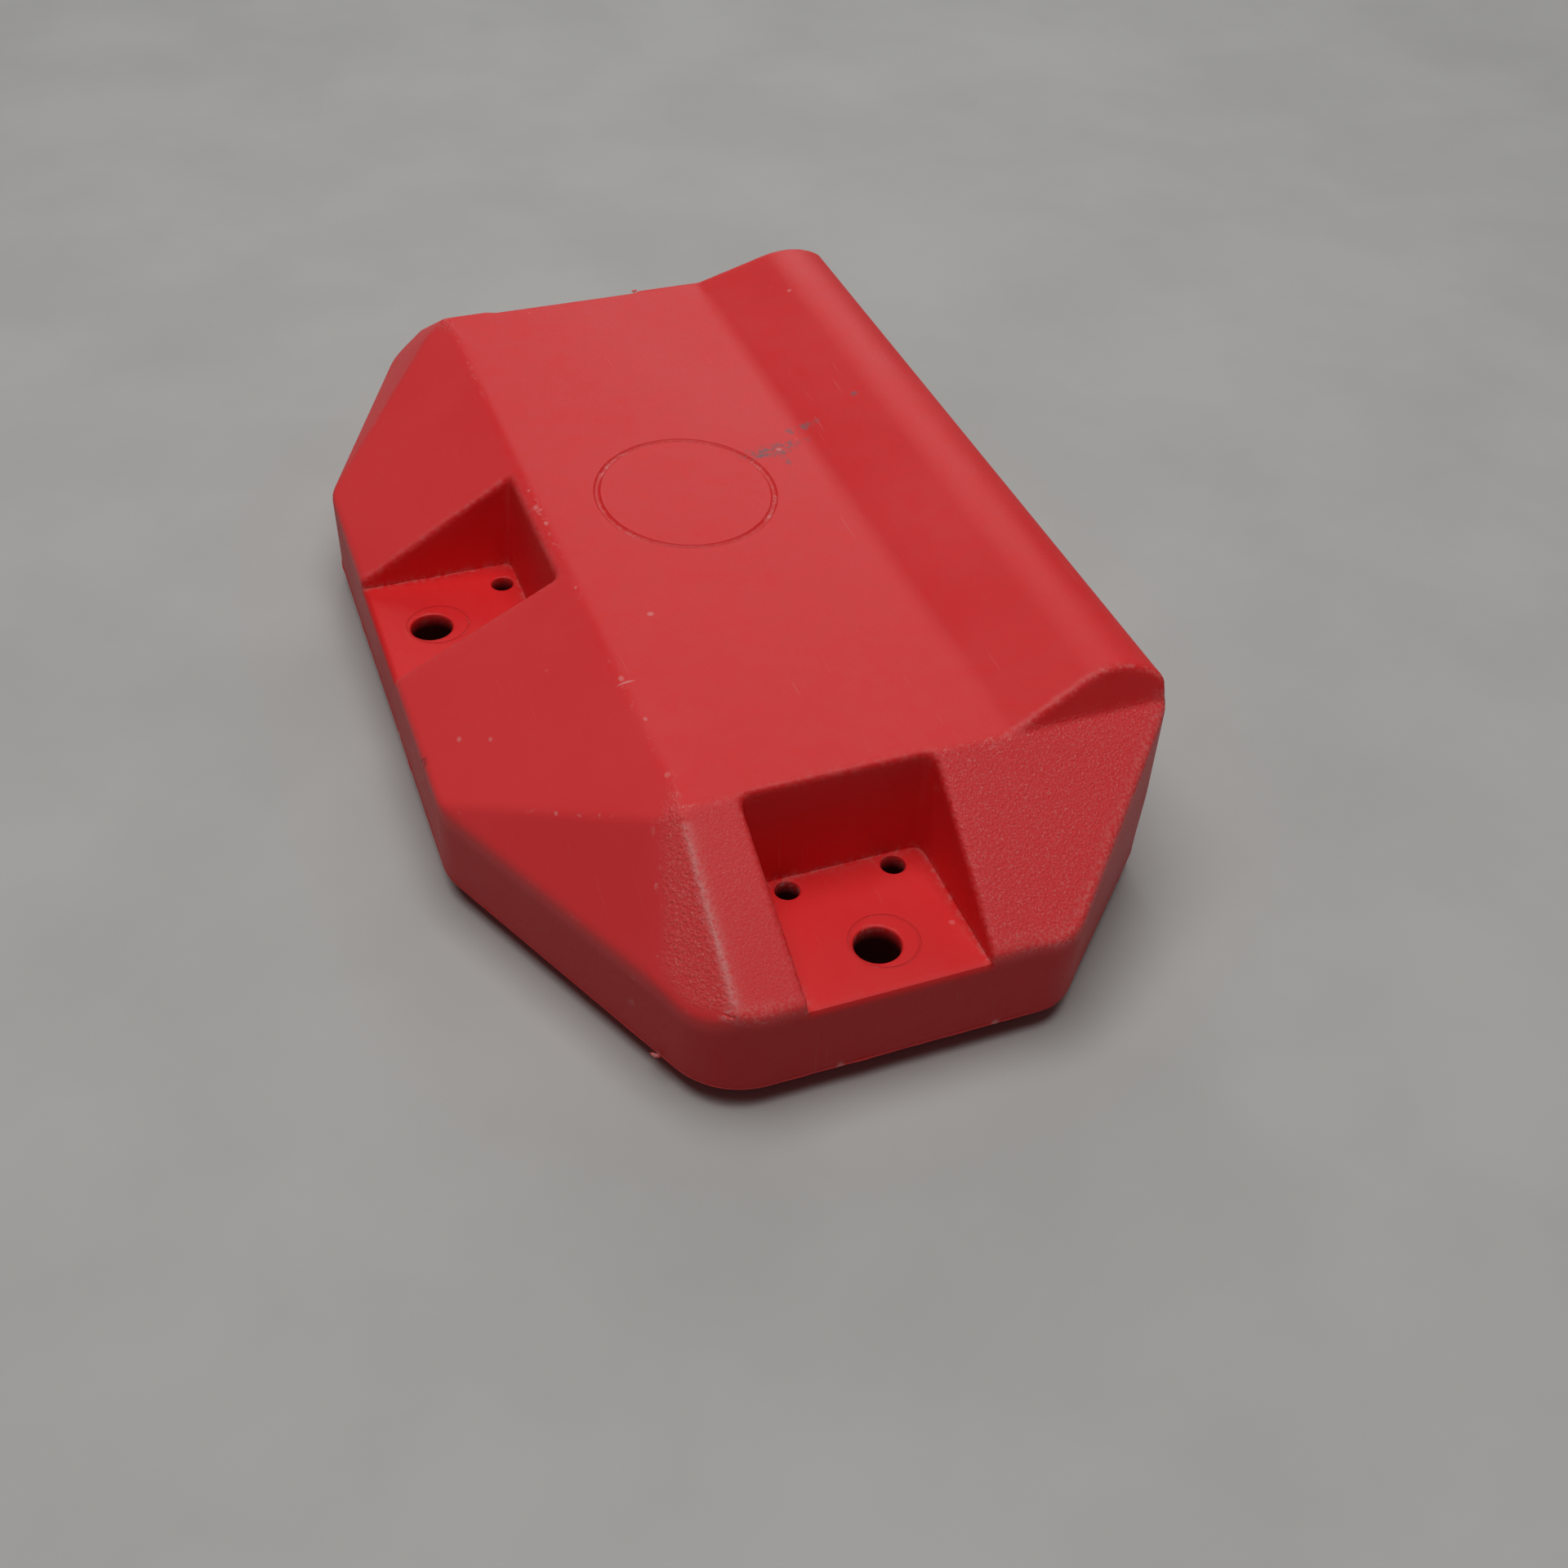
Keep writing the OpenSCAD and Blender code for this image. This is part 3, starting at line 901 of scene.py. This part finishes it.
def marks():
    """Centre, radius, stretch, turn, strength and colour of single scuffs, specks, burrs and smudges."""
    found = [((-9.2, 18.3, plateau_z), 4.2, (0.6, 1.5, 1.0), 0.3, 0.95, GREY_SCUFF),
             ((-14.1, 26.6, plateau_z), 3.0, (0.5, 1.8, 1.0), -0.3, 0.9, GREY_SCUFF),
             ((-10.6, 22.6, plateau_z), 3.4, (0.35, 1.6, 1.0), 1.0, 0.8, GREY_SCUFF),
             ((-6.8, 20.4, plateau_z), 2.6, (1.5, 0.35, 1.0), 0.4, 0.7, GREY_SCUFF),
             ((-15.9, 36.2, 38.0), 0.9, (1.0, 1.0, 1.0), 0.0, 0.7, GREY_SCUFF),
             ((31.7, -50.0, 17.5), 2.2, (1.2, 0.8, 0.6), 0.0, 0.75, DIRT),
             ((30.0, -50.3, 14.4), 2.4, (0.16, 1.0, 1.2), 0.0, 0.55, WORN),
             ((33.5, -50.3, 12.6), 2.0, (0.14, 1.0, 1.2), 0.0, 0.4, WORN),
             ((93.3, -24.0, 18.3), 2.2, (1.0, 1.0, 0.5), 0.7, 0.6, WORN),
             ((41.9, -21.9, plateau_z), 1.4, (0.22, 1.3, 1.0), 0.5, 0.7, WORN)]
    specks = [(-5.0, -22.6, 33.4, 0.8), (-0.1, -22.2, 33.5, 0.6), (40.8, -22.2, 33.5, 0.7),
              (50.5, -21.6, 33.5, 0.5), (32.4, -44.7, 21.2, 0.6), (36.3, -40.8, 23.3, 0.5),
              (45.7, -48.2, 19.3, 0.7), (56.9, -36.6, 25.7, 0.5), (78.6, -35.7, 26.2, 0.6)]
    found += [((x, y, z), radius, (1.2, 0.8, 1.0), 0.4, 0.5, WORN) for x, y, z, radius in specks]
    for start, end, _ in NIBS:
        middle = tuple((a + b) / 2 for a, b in zip(start, end))
        found.append((middle, 0.9, (1.0, 1.0, 1.0), 0.0, 0.85, WORN))
    return found


FLOOR_DARK = (0.42, 0.42, 0.412, 1)
FLOOR_PALE = (0.46, 0.46, 0.452, 1)


def floor_material():
    """Pale matte board with a faint mottle."""
    t = Tree("pale_floor")
    color = t.mix(t.ramp(t.noise(18, 4.0), 0.3, 0.7), FLOOR_DARK, FLOOR_PALE)
    shader = t.add("BsdfPrincipled", Base_Color=color, Roughness=0.8)
    output = t.add("OutputMaterial")
    t.links.new(shader.outputs[0], output.inputs["Surface"])
    return t.material


# ---------------------------------------------------------------- the object

SHARP_DEGREES = 42  # edges that turn more than this stay sharp

upper = build_upper()
finish_mesh(upper, SHARP_DEGREES)
paint_upper_masks(upper)
upper.data.materials.clear()
upper.data.materials.append(red_plastic("red_plastic_moulded"))
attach(upper, "root")
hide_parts("upper_shell")

lower = build_lower()
finish_mesh(lower, SHARP_DEGREES)
lower.data.materials.clear()
lower.data.materials.append(red_plastic("red_plastic_base_moulded", detailed=False))
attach(lower, "root")
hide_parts("lower_shell")

# ---------------------------------------------------------------- floor, light and camera


def area_light(name, place, aim, size, power, color=(1, 1, 1)):
    light = bpy.data.lights.new(name, "AREA")
    light.shape = "RECTANGLE"
    light.size, light.size_y = size
    light.energy = power
    light.color = color
    obj = bpy.data.objects.new(name, light)
    obj.location = place
    obj.rotation_euler = (Vector(aim) - Vector(place)).to_track_quat("-Z", "Y").to_euler()
    bpy.context.scene.collection.objects.link(obj)


floor_half = 3.0
floor = mesh_object("floor", np.array([(-1, -1, 0), (1, -1, 0), (1, 1, 0), (-1, 1, 0)]) * floor_half / MM,
                    [[0, 1, 2, 3]])
floor.data.materials.append(floor_material())

world = bpy.data.worlds.new("studio")
bpy.context.scene.world = world
world.use_nodes = True
world.node_tree.nodes["Background"].inputs["Color"].default_value = (0.93, 0.96, 1.0, 1)
world.node_tree.nodes["Background"].inputs["Strength"].default_value = 0.05

area_light("overhead", (0.02, -0.06, 1.0), (0, 0, 0), (0.8, 0.74), 7.6, (1.0, 0.985, 0.96))
area_light("far_side", (-1.0, 0.45, 0.6), (0, 0, 0), (0.7, 0.5), 2.5)

camera_data = bpy.data.cameras.new("camera")
camera_data.sensor_width = 36.0
camera_data.lens = 42.45
camera_data.shift_x = -0.0148
camera_data.shift_y = 0.0103
camera_data.clip_start = 0.01
camera = bpy.data.objects.new("camera", camera_data)
camera.location = (0.2401, -0.0771, 0.1998)
camera.rotation_euler = tuple(math.radians(angle) for angle in (47.43, -2.27, 69.06))
bpy.context.scene.collection.objects.link(camera)
bpy.context.scene.camera = camera
bpy.context.scene.view_settings.view_transform = "Standard"
